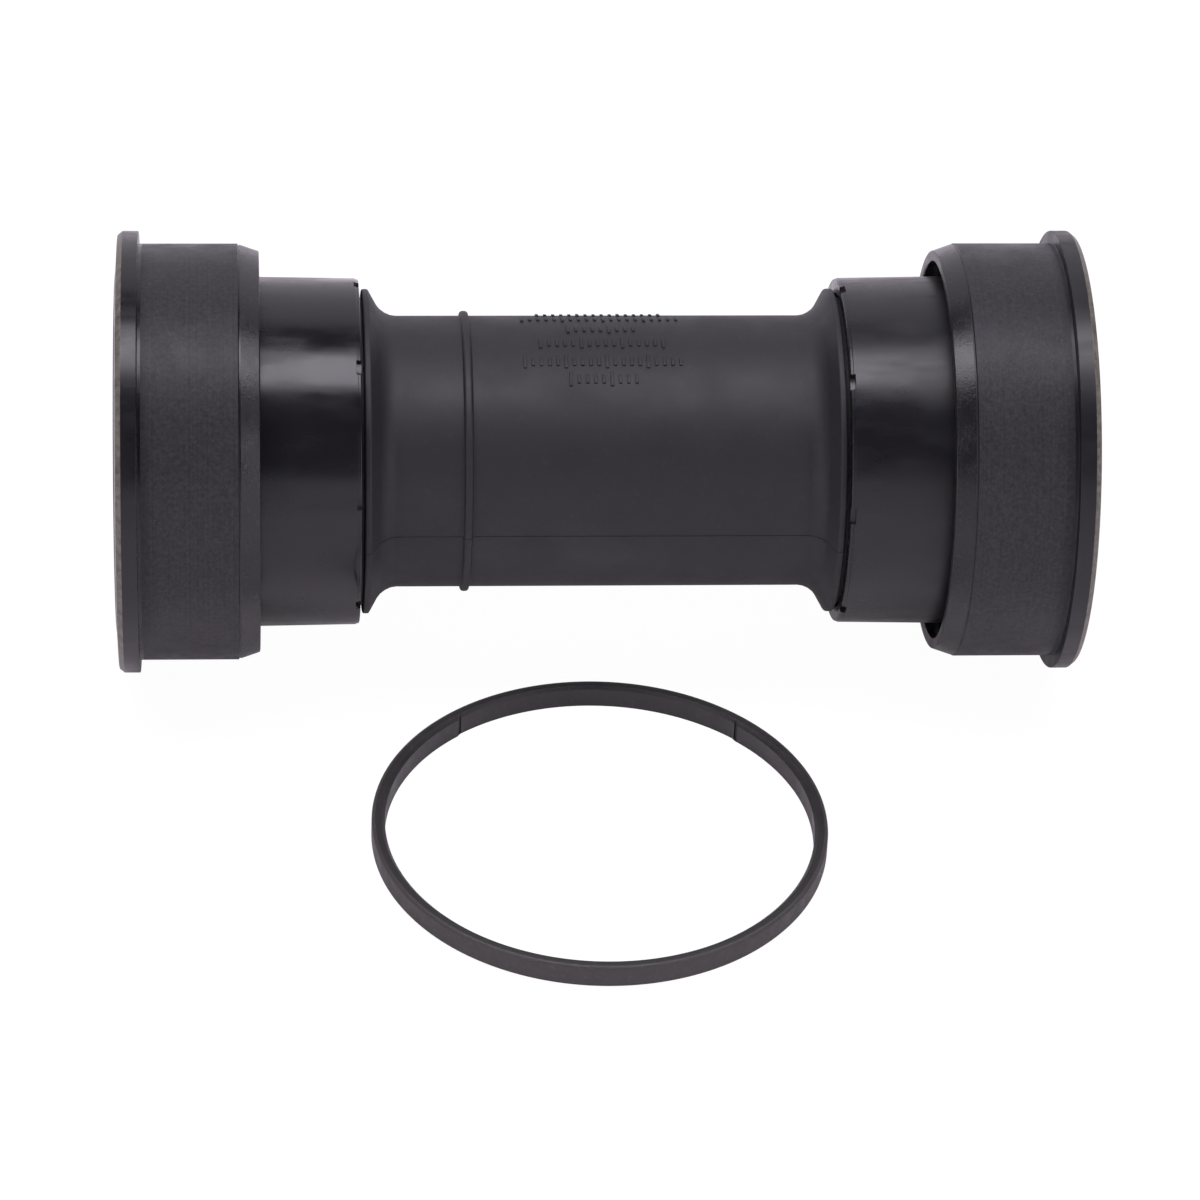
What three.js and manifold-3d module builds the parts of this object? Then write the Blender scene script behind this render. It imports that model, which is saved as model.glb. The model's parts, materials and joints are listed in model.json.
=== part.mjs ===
// Press-fit bottom bracket for a mountain bike, with its loose shell spacer.
// Two flanged nylon cups, each with a sealed ball bearing, push onto the ends of a plastic sleeve.
// In a frame the cups press into a 41 mm bore, and a 24 mm crank spindle runs through both bearings.
//
// Millimetres, +Z up. The set lies on a bench at Z = 0, with the spindle axis along X and the spacer
// flat in front of it, towards -Y. The origin is the middle of the set's footprint.
import * as THREE from "three";
import { mergeVertices } from "three/addons/utils/BufferGeometryUtils.js";
import Module from "manifold-3d";

const wasm = await Module();
wasm.setup();

// ---- driving dimensions ----
const FACETS = 32; // sides of a turned piece, a multiple of 8 so that a flat side faces down
const COARSE = 1; // half the number of straight steps in an arc, for outside edges
const FINE = 2; // the same for ball grooves
const PRESS = 0.1; // radial gap that stands for a press fit between two turned pieces
const FLANGE_SPAN = 90.24; // between the flanges' inner faces, pushed together by hand

const CUP = {
  pressRadius: 20.5, // presses into the 41 mm frame bore
  pressLength: 9.67,
  leadLength: 2.1, // chamfer that starts the cup into the frame
  leadDrop: 0.75,
  lipWidth: 1.0, // end of the outer wall
  flangeRadius: 21.75,
  rimLength: 1.55,
  edgeLength: 0.5, // chamfer round the flange's outer edge
  edgeDrop: 0.4,
  crown: 0.15, // the outer face rises this much towards the bearing
  floor: 1.55, // wall between the bearing seat and the cored groove
  tubeRootRadius: 17.28, // the inner tube has a moulding draft
  tubeTipRadius: 17.08,
  tubeTip: 21.52, // from the flange's inner face
  tubeRound: 0.4,
  bore: 15.6,
  ribs: 8,
  ribWidth: 1.2,
  ribSetback: 1.5, // from the lip to the ribs' ends
  notches: 8,
  notchWidth: 1.6,
  notchDepth: 0.5,
  notchRadial: 0.6,
  ribTurn: { left: 26.5, right: 13 }, // degrees from +Y to the first rib and the notch in line with it
};
const BEARING = {
  boreRadius: 12.5,
  outerRadius: 18.5,
  width: 7,
  out: -1, // its outer face, from the flange's inner face
  balls: 15,
  ballRadius: 1.75,
  raceRadius: 1.85, // the groove that the balls run in
  shoulder: 1.25, // from the ball circle to the rings' lands
  sealThickness: 0.6,
  sealSetback: 0.2,
  sealGap: 0.12,
  cageHalfWall: 0.85,
  cageBack: 2.4, // from the ball centres to the cage's closed side
  cageFront: 0.9,
  pocketRadius: 2.0,
};
const COVER = {
  discRadius: 18.1,
  out: -2.3, // its outer face, from the flange's inner face
  thickness: 1.0,
  bore: 12, // the 24 mm spindle
  bushRadius: 12.4,
  bossRadius: 13.9, // rests on the bearing's inner ring
  edge: 0.3,
};
const SLEEVE = {
  radius: 13.38,
  bore: 12.5,
  halfLip: 23.3, // from the middle to the back of each bell's lip
  lipRadius: 16.02,
  lipRound: 0.3,
  coneAngle: 61, // degrees from the axis
  coneFoot: 1.0, // radius of the hollow curve where the bell meets the tube
  spigotRadius: 15.2,
  spigotBore: 13.6,
  spigotLength: 6.4,
  spigotEdge: 0.4,
  grooveStart: 2.9, // O-ring groove, from the lip
  grooveWidth: 1.5,
  grooveRadius: 14.4,
  bead: -13.2, // moulded ring round the tube, from the middle
  beadRadius: 0.58,
  beadStand: 0.5,
};
const O_RING = { sectionRadius: 0.52, radius: 14.98, sides: 8 };
const SPACER = {
  outerRadius: 22,
  boreRadius: 20.7,
  height: 2.4,
  edge: 0.15,
  mouth: 0.35, // chamfer round the top of the bore
  ahead: 34.1, // its centre is this far in front of the spindle axis
  left: 0.85,
  reliefAngle: 82, // degrees of the bore, towards the back, that stand back a little
  reliefTurn: 2.5, // degrees from +Y to the relief's middle, towards +X
  reliefDepth: 0.15,
};

// ---- worked out ----
const BALL_CIRCLE = (BEARING.boreRadius + BEARING.outerRadius) / 2;
const BEARING_IN = BEARING.out + BEARING.width;
const BALL_PLANE = BEARING.out + BEARING.width / 2;
const LIP_PLANE = CUP.pressLength + CUP.leadLength;
const LIP_RADIUS = CUP.pressRadius - CUP.leadDrop;
const GROOVE_FLOOR = BEARING_IN + PRESS + CUP.floor;
const AXIS_HEIGHT = CUP.flangeRadius;
const AXIS_BACK = (SPACER.ahead + SPACER.outerRadius - CUP.flangeRadius) / 2;
const SEAT_RADIUS = BEARING.outerRadius + PRESS;

// ---- materials ----
const finish = (color, roughness, metalness = 0) =>
  new THREE.MeshStandardMaterial({ color, roughness, metalness });
const NYLON = finish(0x242326, 0.5);
const SLEEVE_PLASTIC = finish(0x2b2a2d, 0.6);
const COVER_PLASTIC = finish(0x1f1f22, 0.45);
const SPACER_PLASTIC = finish(0x262527, 0.55);
const STEEL = finish(0xb4b6b8, 0.25, 1);
const CAGE_NYLON = finish(0x8c6a3f, 0.5);
const SEAL_RUBBER = finish(0x26282b, 0.7);
const O_RING_RUBBER = finish(0x161616, 0.55);

// ---- shapes ----
// Turns an outline about the X axis. It is drawn clockwise in (distance along the axis, radius).
// Radii are measured to the flat sides, so a round piece of the same size fits inside.
function turn(outline, steps = COARSE) {
  const toCorner = 1 / Math.cos(Math.PI / FACETS);
  const points = outline.getPoints(steps).map((p) => new THREE.Vector2(p.y * toCorner, p.x));
  points.push(points[0].clone());
  return new THREE.LatheGeometry(points, FACETS, Math.PI / FACETS).rotateZ(-Math.PI / 2);
}

// A plain ring of rectangular section.
function ring(from, to, inner, outer) {
  return turn(
    new THREE.Shape().moveTo(from, inner).lineTo(from, outer).lineTo(to, outer).lineTo(to, inner),
  );
}

function solid(geometry) {
  const bare = geometry.clone();
  bare.deleteAttribute("normal");
  bare.deleteAttribute("uv");
  const merged = mergeVertices(bare, 1e-4);
  return new wasm.Manifold(
    new wasm.Mesh({
      numProp: 3,
      vertProperties: merged.attributes.position.array,
      triVerts: new Uint32Array(merged.index.array),
    }),
  );
}

function geometryOf(manifold) {
  const mesh = manifold.getMesh();
  const geometry = new THREE.BufferGeometry();
  geometry.setAttribute("position", new THREE.BufferAttribute(mesh.vertProperties, 3));
  geometry.setIndex(new THREE.BufferAttribute(mesh.triVerts, 1));
  geometry.computeVertexNormals();
  return geometry;
}

// Copies of one solid spread evenly round the X axis, the first at an angle from +Y.
function spread(shape, count, firstDegrees = 0) {
  const step = 360 / count;
  return Array.from({ length: count }, (_, i) => shape.rotate([firstDegrees + i * step, 0, 0]));
}

// A block that reaches from one radius to another on the +Y side.
function block(from, to, inner, outer, width) {
  return solid(
    new THREE.BoxGeometry(to - from, outer - inner, width).translate(
      (from + to) / 2,
      (inner + outer) / 2,
      0,
    ),
  );
}

// ---- pieces on the cup side, drawn from the flange's inner face with +X towards the sleeve ----
function cup(side) {
  const edge = CUP.rimLength + CUP.edgeLength;
  const body = turn(
    new THREE.Shape()
      .moveTo(-edge - CUP.crown, SEAT_RADIUS)
      .lineTo(-edge, CUP.flangeRadius - CUP.edgeDrop)
      .lineTo(-CUP.rimLength, CUP.flangeRadius)
      .lineTo(0, CUP.flangeRadius)
      .lineTo(0, CUP.pressRadius)
      .lineTo(CUP.pressLength, CUP.pressRadius)
      .lineTo(LIP_PLANE, LIP_RADIUS)
      .lineTo(LIP_PLANE, LIP_RADIUS - CUP.lipWidth)
      .lineTo(GROOVE_FLOOR, LIP_RADIUS - CUP.lipWidth)
      .lineTo(GROOVE_FLOOR, CUP.tubeRootRadius)
      .lineTo(CUP.tubeTip - CUP.tubeRound, CUP.tubeTipRadius)
      .absarc(
        CUP.tubeTip - CUP.tubeRound,
        CUP.tubeTipRadius - CUP.tubeRound,
        CUP.tubeRound,
        Math.PI / 2,
        0,
        true,
      )
      .lineTo(CUP.tubeTip, CUP.bore)
      .lineTo(BEARING_IN + PRESS, CUP.bore)
      .lineTo(BEARING_IN + PRESS, SEAT_RADIUS),
  );
  const rib = block(
    GROOVE_FLOOR - 0.5,
    LIP_PLANE - CUP.ribSetback,
    CUP.tubeTipRadius - 0.5,
    LIP_RADIUS - CUP.lipWidth + 0.5,
    CUP.ribWidth,
  );
  const notch = block(
    CUP.tubeTip - CUP.notchDepth,
    CUP.tubeTip + 1,
    CUP.tubeTipRadius - CUP.notchRadial,
    CUP.tubeTipRadius + 1,
    CUP.notchWidth,
  );
  const ribs = spread(rib, CUP.ribs, CUP.ribTurn[side]);
  const notches = spread(notch, CUP.notches, CUP.ribTurn[side]);
  const shape = wasm.Manifold.union([solid(body), ...ribs]);
  return geometryOf(notches.reduce((rest, cut) => rest.subtract(cut), shape));
}

function bearingOuterRing() {
  const land = BALL_CIRCLE + BEARING.shoulder;
  const reach = Math.sqrt(BEARING.raceRadius ** 2 - BEARING.shoulder ** 2);
  const start = Math.atan2(BEARING.shoulder, reach);
  return turn(
    new THREE.Shape()
      .moveTo(BEARING.out, land)
      .lineTo(BEARING.out, BEARING.outerRadius)
      .lineTo(BEARING_IN, BEARING.outerRadius)
      .lineTo(BEARING_IN, land)
      .lineTo(BALL_PLANE + reach, land)
      .absarc(BALL_PLANE, BALL_CIRCLE, BEARING.raceRadius, start, Math.PI - start, false),
    FINE,
  );
}

function bearingInnerRing() {
  const land = BALL_CIRCLE - BEARING.shoulder;
  const reach = Math.sqrt(BEARING.raceRadius ** 2 - BEARING.shoulder ** 2);
  const start = Math.atan2(BEARING.shoulder, reach);
  return turn(
    new THREE.Shape()
      .moveTo(BEARING.out, BEARING.boreRadius)
      .lineTo(BEARING.out, land)
      .lineTo(BALL_PLANE - reach, land)
      .absarc(BALL_PLANE, BALL_CIRCLE, BEARING.raceRadius, Math.PI + start, -start, false)
      .lineTo(BEARING_IN, land)
      .lineTo(BEARING_IN, BEARING.boreRadius),
    FINE,
  );
}

function ballCentre(i) {
  const angle = (2 * Math.PI * i) / BEARING.balls;
  return new THREE.Vector3(
    BALL_PLANE,
    BALL_CIRCLE * Math.cos(angle),
    BALL_CIRCLE * Math.sin(angle),
  );
}

// A crown cage: a ring on the inboard side, with open pockets that snap over the balls.
function cage() {
  const body = ring(
    BALL_PLANE - BEARING.cageFront,
    BALL_PLANE + BEARING.cageBack,
    BALL_CIRCLE - BEARING.cageHalfWall,
    BALL_CIRCLE + BEARING.cageHalfWall,
  );
  const drill = solid(
    new THREE.CylinderGeometry(BEARING.pocketRadius, BEARING.pocketRadius, 6, 10)
      .translate(BALL_PLANE, BALL_CIRCLE, 0),
  );
  return geometryOf(
    spread(drill, BEARING.balls).reduce((rest, cut) => rest.subtract(cut), solid(body)),
  );
}

function bearingSeal(from) {
  return ring(
    from,
    from + BEARING.sealThickness,
    BALL_CIRCLE - BEARING.shoulder + BEARING.sealGap,
    BALL_CIRCLE + BEARING.shoulder - BEARING.sealGap,
  );
}

// Dust cover: a disc over the bearing, and a thin bush through its inner ring that takes the spindle.
function dustCover() {
  const back = COVER.out + COVER.thickness;
  return turn(
    new THREE.Shape()
      .moveTo(COVER.out, COVER.bore + COVER.edge)
      .lineTo(COVER.out, COVER.discRadius - COVER.edge)
      .lineTo(COVER.out + COVER.edge, COVER.discRadius)
      .lineTo(back, COVER.discRadius)
      .lineTo(back, COVER.bossRadius)
      .lineTo(BEARING.out - PRESS, COVER.bossRadius)
      .lineTo(BEARING.out - PRESS, COVER.bushRadius)
      .lineTo(BEARING_IN, COVER.bushRadius)
      .lineTo(BEARING_IN, COVER.bore)
      .lineTo(COVER.out + COVER.edge, COVER.bore),
  );
}

// ---- pieces in the middle, drawn from the sleeve's middle ----
// One end of the sleeve's outline from the tube to the spigot's tip: bell, lip, O-ring groove.
function sleeveEndPoints() {
  const cone = THREE.MathUtils.degToRad(SLEEVE.coneAngle);
  const foot = SLEEVE.coneFoot;
  const top = new THREE.Vector2(
    SLEEVE.halfLip - 2 * SLEEVE.lipRound,
    SLEEVE.lipRadius - SLEEVE.lipRound,
  );
  const rise = top.y - SLEEVE.radius - foot * (1 - Math.cos(cone));
  const coneStart = top.x - rise / Math.tan(cone);
  const end = new THREE.Path()
    .moveTo(coneStart - foot * Math.sin(cone), SLEEVE.radius)
    .absarc(
      coneStart - foot * Math.sin(cone),
      SLEEVE.radius + foot,
      foot,
      -Math.PI / 2,
      cone - Math.PI / 2,
      false,
    )
    .lineTo(top.x, top.y)
    .absarc(
      SLEEVE.halfLip - SLEEVE.lipRound,
      SLEEVE.lipRadius - SLEEVE.lipRound,
      SLEEVE.lipRound,
      Math.PI - cone / 2,
      0,
      true,
    )
    .lineTo(SLEEVE.halfLip, SLEEVE.spigotRadius)
    .lineTo(SLEEVE.halfLip + SLEEVE.grooveStart, SLEEVE.spigotRadius)
    .lineTo(SLEEVE.halfLip + SLEEVE.grooveStart, SLEEVE.grooveRadius)
    .lineTo(SLEEVE.halfLip + SLEEVE.grooveStart + SLEEVE.grooveWidth, SLEEVE.grooveRadius)
    .lineTo(SLEEVE.halfLip + SLEEVE.grooveStart + SLEEVE.grooveWidth, SLEEVE.spigotRadius)
    .lineTo(SLEEVE.halfLip + SLEEVE.spigotLength - SLEEVE.spigotEdge, SLEEVE.spigotRadius)
    .lineTo(SLEEVE.halfLip + SLEEVE.spigotLength, SLEEVE.spigotRadius - SLEEVE.spigotEdge)
    .lineTo(SLEEVE.halfLip + SLEEVE.spigotLength, SLEEVE.spigotBore)
    .lineTo(SLEEVE.halfLip, SLEEVE.spigotBore)
    .lineTo(coneStart, SLEEVE.bore);
  return end.getPoints(COARSE);
}

function sleeve() {
  const right = sleeveEndPoints();
  const left = right.map((p) => new THREE.Vector2(-p.x, p.y)).reverse();
  const beadHalf = Math.sqrt(
    SLEEVE.beadRadius ** 2 - (SLEEVE.beadRadius - SLEEVE.beadStand) ** 2,
  );
  const beadStart = Math.acos(beadHalf / SLEEVE.beadRadius);
  const outline = new THREE.Shape()
    .setFromPoints(left)
    .lineTo(SLEEVE.bead - beadHalf, SLEEVE.radius)
    .absarc(
      SLEEVE.bead,
      SLEEVE.radius + SLEEVE.beadStand - SLEEVE.beadRadius,
      SLEEVE.beadRadius,
      Math.PI - beadStart,
      beadStart,
      true,
    );
  for (const p of right) outline.lineTo(p.x, p.y);
  return turn(outline);
}

function oRing() {
  const middle = SLEEVE.halfLip + SLEEVE.grooveStart + SLEEVE.grooveWidth / 2;
  const section = Array.from({ length: O_RING.sides }, (_, i) => {
    const angle = Math.PI - (2 * Math.PI * i) / O_RING.sides;
    return new THREE.Vector2(
      middle + O_RING.sectionRadius * Math.cos(angle),
      O_RING.radius + O_RING.sectionRadius * Math.sin(angle),
    );
  });
  return turn(new THREE.Shape(section));
}

// The spacer is turned about X like the rest, from its bench side up.
function spacer() {
  const { outerRadius: outer, boreRadius: bore, height, edge, mouth } = SPACER;
  const body = turn(
    new THREE.Shape()
      .moveTo(0, bore)
      .lineTo(0, outer - edge)
      .lineTo(edge, outer)
      .lineTo(height - edge, outer)
      .lineTo(height, outer - edge)
      .lineTo(height, bore + mouth)
      .lineTo(height - mouth, bore),
  );
  const sector = new THREE.Shape();
  const half = THREE.MathUtils.degToRad(SPACER.reliefAngle) / 2;
  const deep = bore + SPACER.reliefDepth;
  sector.absarc(0, 0, deep, -half, half, false);
  sector.absarc(0, 0, bore - 1, half, -half, true);
  const relief = solid(
    new THREE.ExtrudeGeometry(sector, { depth: height + 2, bevelEnabled: false, curveSegments: 8 })
      .translate(0, 0, -1)
      .rotateY(Math.PI / 2),
  );
  return geometryOf(solid(body).subtract(relief.rotate([90 - SPACER.reliefTurn, 0, 0])));
}

// ---- the set ----
function piece(name, geometry, material) {
  const mesh = new THREE.Mesh(geometry, material);
  mesh.name = name;
  return mesh;
}

function cupSide(side) {
  const group = new THREE.Group();
  const outerSeal = BEARING.out + BEARING.sealSetback;
  const innerSeal = BEARING_IN - BEARING.sealSetback - BEARING.sealThickness;
  group.add(
    piece(`${side}_cup`, cup(side), NYLON),
    piece(`${side}_bearing_outer_ring`, bearingOuterRing(), STEEL),
    piece(`${side}_bearing_inner_ring`, bearingInnerRing(), STEEL),
    piece(`${side}_bearing_cage`, cage(), CAGE_NYLON),
    piece(`${side}_bearing_outboard_seal`, bearingSeal(outerSeal), SEAL_RUBBER),
    piece(`${side}_bearing_inboard_seal`, bearingSeal(innerSeal), SEAL_RUBBER),
    piece(`${side}_dust_cover`, dustCover(), COVER_PLASTIC),
  );
  for (let i = 0; i < BEARING.balls; i++) {
    const number = String(i + 1).padStart(2, "0");
    const ball = new THREE.IcosahedronGeometry(BEARING.ballRadius, 1);
    const mesh = piece(`${side}_ball_${number}`, ball, STEEL);
    mesh.position.copy(ballCentre(i));
    group.add(mesh);
  }
  return group;
}

const bracket = new THREE.Group();
bracket.position.set(0, AXIS_BACK, AXIS_HEIGHT);

const left = cupSide("left");
left.position.x = -FLANGE_SPAN / 2;
const right = cupSide("right");
right.position.x = FLANGE_SPAN / 2;
right.rotation.z = Math.PI;
bracket.add(left, right);

const middle = new THREE.Group();
const leftORing = piece("left_o_ring", oRing(), O_RING_RUBBER);
leftORing.rotation.z = Math.PI;
middle.add(
  piece("inner_sleeve", sleeve(), SLEEVE_PLASTIC),
  leftORing,
  piece("right_o_ring", oRing(), O_RING_RUBBER),
);
bracket.add(middle);

const looseSpacer = piece("shell_spacer", spacer(), SPACER_PLASTIC);
looseSpacer.rotation.y = -Math.PI / 2;
looseSpacer.position.set(-SPACER.left, AXIS_BACK - SPACER.ahead, 0);

const set = new THREE.Group();
set.add(bracket, looseSpacer);

export default set;
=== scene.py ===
"""Finishes a press-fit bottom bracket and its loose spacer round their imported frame.

The bracket lies along X. Lengths are in metres, and a turned outline is a list of corners, each
(place along the axis, radius, rounding).
"""

import json
import math

import bmesh
import bpy
from mathutils import Matrix, Vector


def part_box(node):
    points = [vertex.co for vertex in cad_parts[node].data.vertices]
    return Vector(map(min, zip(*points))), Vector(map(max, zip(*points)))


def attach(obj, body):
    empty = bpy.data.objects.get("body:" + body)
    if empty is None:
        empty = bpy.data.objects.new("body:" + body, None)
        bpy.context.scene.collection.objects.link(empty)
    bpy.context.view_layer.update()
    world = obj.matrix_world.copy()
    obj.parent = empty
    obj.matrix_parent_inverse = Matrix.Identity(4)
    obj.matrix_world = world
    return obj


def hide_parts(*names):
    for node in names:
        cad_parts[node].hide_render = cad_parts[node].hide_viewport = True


bl_info = {
    "name": "Press-Fit Bottom Bracket",
    "version": (1, 0, 0),
    "blender": (4, 5, 0),
    "location": "View3D > Sidebar > Bottom Bracket",
    "description": "Models the cups, bearings, sleeve and spacer of a press-fit bottom bracket",
    "category": "Add Mesh",
}

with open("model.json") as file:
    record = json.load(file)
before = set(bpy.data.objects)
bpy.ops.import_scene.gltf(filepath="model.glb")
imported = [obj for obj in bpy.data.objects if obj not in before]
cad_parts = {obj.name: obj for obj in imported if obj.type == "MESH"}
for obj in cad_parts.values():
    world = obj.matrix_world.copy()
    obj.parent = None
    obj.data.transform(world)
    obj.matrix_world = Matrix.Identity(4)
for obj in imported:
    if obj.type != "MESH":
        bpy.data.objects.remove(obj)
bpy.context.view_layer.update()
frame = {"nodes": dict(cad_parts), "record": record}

MM = 0.001
SIDES = ("left", "right")

# ---- places and sizes that the frame gives ----
CUP_LOW, CUP_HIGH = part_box("left_cup")
RING_LOW, RING_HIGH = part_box("left_bearing_outer_ring")
COVER_LOW, COVER_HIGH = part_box("left_dust_cover")
CAGE_LOW, CAGE_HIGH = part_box("left_bearing_cage")
SLEEVE_LOW, SLEEVE_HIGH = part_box("inner_sleeve")
SEAL_OUT_LOW, SEAL_OUT_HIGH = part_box("left_bearing_outboard_seal")
SEAL_IN_LOW, SEAL_IN_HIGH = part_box("left_bearing_inboard_seal")
O_RING_LOW, O_RING_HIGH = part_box("right_o_ring")
SPACER_LOW, SPACER_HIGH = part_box("shell_spacer")
AXIS = Vector((0, (CUP_LOW.y + CUP_HIGH.y) / 2, (CUP_LOW.z + CUP_HIGH.z) / 2))
MOUNTS = {mount["name"]: mount for mount in frame["record"]["mounts"]}
FLANGE_FACE = MOUNTS["left_shell_face"]["pos_m"][0]
SPACER_CENTRE = (SPACER_LOW + SPACER_HIGH) / 2
BALLS_PER_SIDE = sum(name.startswith("left_ball_") for name in frame["nodes"])

X_AXIS = Vector((1, 0, 0))
Z_AXIS = Vector((0, 0, 1))
WELD = 1e-6  # vertices closer than this are one
STEPS = 192  # round a turned piece
FINE_STEPS = 256  # round the pieces that show most
ROUND_STEPS = 4  # round a corner of an outline
SHARP = math.radians(32)  # an edge that turns further than this stays sharp
PLASTIC_IOR = 1.49


def axis_point(x):
    """The point on the bracket's axis at x."""
    return Vector((x, AXIS.y, AXIS.z))


# ---- sizes and colours that a user would change ----
def length(name, description, millimetres):
    """A length property with its default in millimetres."""
    return bpy.props.FloatProperty(
        name=name,
        description=description,
        default=millimetres * MM,
        min=0.0,
        precision=5,
        unit="LENGTH",
    )


def angle(name, description, degrees):
    """An angle property with its default in degrees."""
    default = math.radians(degrees)
    return bpy.props.FloatProperty(name=name, description=description, default=default, subtype="ANGLE")


def level(name, description, default):
    """The brightness of a light, 1 being what a white card shows."""
    return bpy.props.FloatProperty(name=name, description=description, default=default, min=0.0)


def colour(name, description, hex_value):
    """A colour property with its default as sRGB hex."""
    return bpy.props.FloatVectorProperty(
        name=name,
        description=description,
        default=linear(hex_value)[:3],
        min=0.0,
        max=1.0,
        size=3,
        subtype="COLOR",
    )


def linear(hex_value):
    """sRGB hex such as "1E1D22" to linear red, green, blue and alpha."""
    channels = [int(hex_value[i : i + 2], 16) / 255 for i in (0, 2, 4)]
    return [c / 12.92 if c <= 0.04045 else ((c + 0.055) / 1.055) ** 2.4 for c in channels] + [1.0]


class CupSizes(bpy.types.PropertyGroup):
    flange_radius: length("Flange radius", "Outer radius of the flange", CUP_HIGH.z / MM - AXIS.z / MM)
    rim: length("Rim", "Length of the flange's plain rim", 1.55)
    edge_length: length("Edge length", "Length of the flange's outer chamfer", 0.5)
    edge_drop: length("Edge drop", "Radial drop of the flange's outer chamfer", 0.4)
    press_radius: length("Press radius", "Radius that presses into the frame", 20.5)
    relief: length("Relief", "Strip at the flange that the turning tool doesn't reach", 0.35)
    press_length: length("Press length", "Length of the press surface", 9.67)
    lead_length: length("Lead length", "Length of the lead chamfer", 2.1)
    lead_drop: length("Lead drop", "Radial drop of the lead chamfer", 0.75)
    lip: length("Lip", "Width of the outer wall's end", 1.0)
    floor: length("Groove floor", "Floor of the cored groove, from the flange's inner face", 7.65)
    web: length("Web", "Bearing side of the web, from the flange's inner face", 6.1)
    tube_root: length("Tube root", "Radius of the inner tube at the groove's floor", 17.28)
    tube_tip: length("Tube tip", "Radius of the inner tube near its end", 17.08)
    bore: length("Tube bore", "Radius inside the inner tube", 15.6)
    seat: length("Bearing seat", "Radius of the bearing seat", 18.6)
    rib_width: length("Rib width", "Width of a rib in the groove", 1.2)
    rib_setback: length("Rib setback", "From the lip to the ribs' ends", 1.5)
    notch_width: length("Notch width", "Width of a notch in the tube's end", 1.6)
    notch_depth: length("Notch depth", "Depth of a notch along the tube", 0.5)
    rounding: length("Rounding", "Rounding of the moulded edges", 0.18)
    rib_turn: angle("Rib turn", "From the top to the first rib and the notch in line with it", 26.5)
    right_turn: angle("Right turn", "How much further round the right cup was pushed on", 13.5)
    ribs: bpy.props.IntProperty(name="Ribs", description="Ribs in the groove", default=8, min=0)
    notches: bpy.props.IntProperty(name="Notches", description="Notches in the tube's end", default=8, min=0)


class SleeveSizes(bpy.types.PropertyGroup):
    radius: length("Radius", "Outer radius of the tube", 13.38)
    bore: length("Bore", "Inner radius of the tube", 12.5)
    half_lip: length("Half length to the lips", "From the middle to the back of each bell's lip", 23.3)
    lip_radius: length("Lip radius", "Radius of each bell's lip", 16.02)
    lip_width: length("Lip width", "Width of each bell's lip", 0.62)
    foot: length("Foot rounding", "Hollow curve where the bell meets the tube", 2.2)
    spigot_radius: length("Spigot radius", "Radius that enters the cup's tube", 15.2)
    spigot_bore: length("Spigot bore", "Inner radius of the spigot", 13.6)
    groove_start: length("Groove start", "From the lip to the seal ring's groove", 2.9)
    groove_width: length("Groove width", "Width of the seal ring's groove", 1.5)
    groove_radius: length("Groove radius", "Radius at the bottom of the seal ring's groove", 14.4)
    bead_half_width: length("Bead half width", "Half width of the ring moulded round the tube", 0.4)
    bead_height: length("Bead height", "Height of the ring moulded round the tube", 0.47)
    bead_from_middle: length("Bead place", "From the sleeve's middle to the ring, to the left", 13.2)
    flash_width: length("Flash width", "Width of the line left where the mould parts", 0.12)
    flash_height: length("Flash height", "Height of the line left where the mould parts", 0.045)
    mark_height: length("Mark height", "How far the plain marks on top stand out", 0.14)
    mark_width: length("Mark width", "Width of a plain mark", 0.3)
    cone_angle: angle("Cone angle", "Angle of each bell from the axis", 61)


class BearingSizes(bpy.types.PropertyGroup):
    bore: length("Bore", "Radius of the inner ring's bore", 12.5)
    shoulder: length("Shoulder", "From the ball circle to the rings' lands", 1.25)
    race_radius: length("Race radius", "Radius of the groove that the balls run in", 1.85)
    chamfer: length("Chamfer", "Rounding of the rings' corners", 0.25)
    pocket_radius: length("Pocket radius", "Radius of the cage's ball pockets", 1.95)


class CoverSizes(bpy.types.PropertyGroup):
    bore: length("Bore", "Radius that the spindle passes", 12.0)
    bush_radius: length("Bush radius", "Outer radius of the bush", 12.4)
    boss_radius: length("Boss radius", "Radius that rests on the inner ring", 13.9)
    thickness: length("Thickness", "Thickness of the disc", 1.0)
    ring_depth: length("Ring depth", "Depth of the rings in the outer face", 0.22)


class SpacerSizes(bpy.types.PropertyGroup):
    bore: length("Bore", "Radius of the bore", 20.7)
    mouth: length("Mouth", "Chamfer round the top of the bore", 0.35)
    edge: length("Edge", "Rounding of the outer edges", 0.35)
    bore_edge: length("Bore edge", "Rounding of the bore's edges", 0.08)
    relief: length("Relief", "How far the bore's relief stands back", 0.15)
    groove_width: length("Groove width", "Width of the groove at each end of the relief", 0.45)
    groove_depth: length("Groove depth", "Depth of the groove at each end of the relief", 0.3)
    relief_angle: angle("Relief angle", "Angle of the bore that is relieved", 82)
    relief_turn: angle("Relief turn", "From the back to the relief's middle, towards the right", 2.5)


class FinishColours(bpy.types.PropertyGroup):
    nylon: colour("Cup nylon", "Base colour of the cups as moulded", "1B1A1E")
    turned: colour("Turned nylon", "Base colour of the cups where they are turned", "363538")
    rubbed: colour("Rubbed nylon", "Colour of the flanges' rubbed edges", "7A756B")
    sleeve: colour("Sleeve", "Base colour of the sleeve", "242327")
    spacer: colour("Spacer", "Base colour of the spacer's bore and faces", "2F2D2E")
    scuffed: colour("Scuffed spacer", "Base colour of the spacer's outside", "43403F")
    cover: colour("Dust cover", "Base colour of the dust covers", "1A1A1D")
    cage: colour("Cage", "Base colour of the ball cages", "8A673B")
    rubber: colour("Rubber", "Base colour of the seals", "1D1F21")


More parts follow.
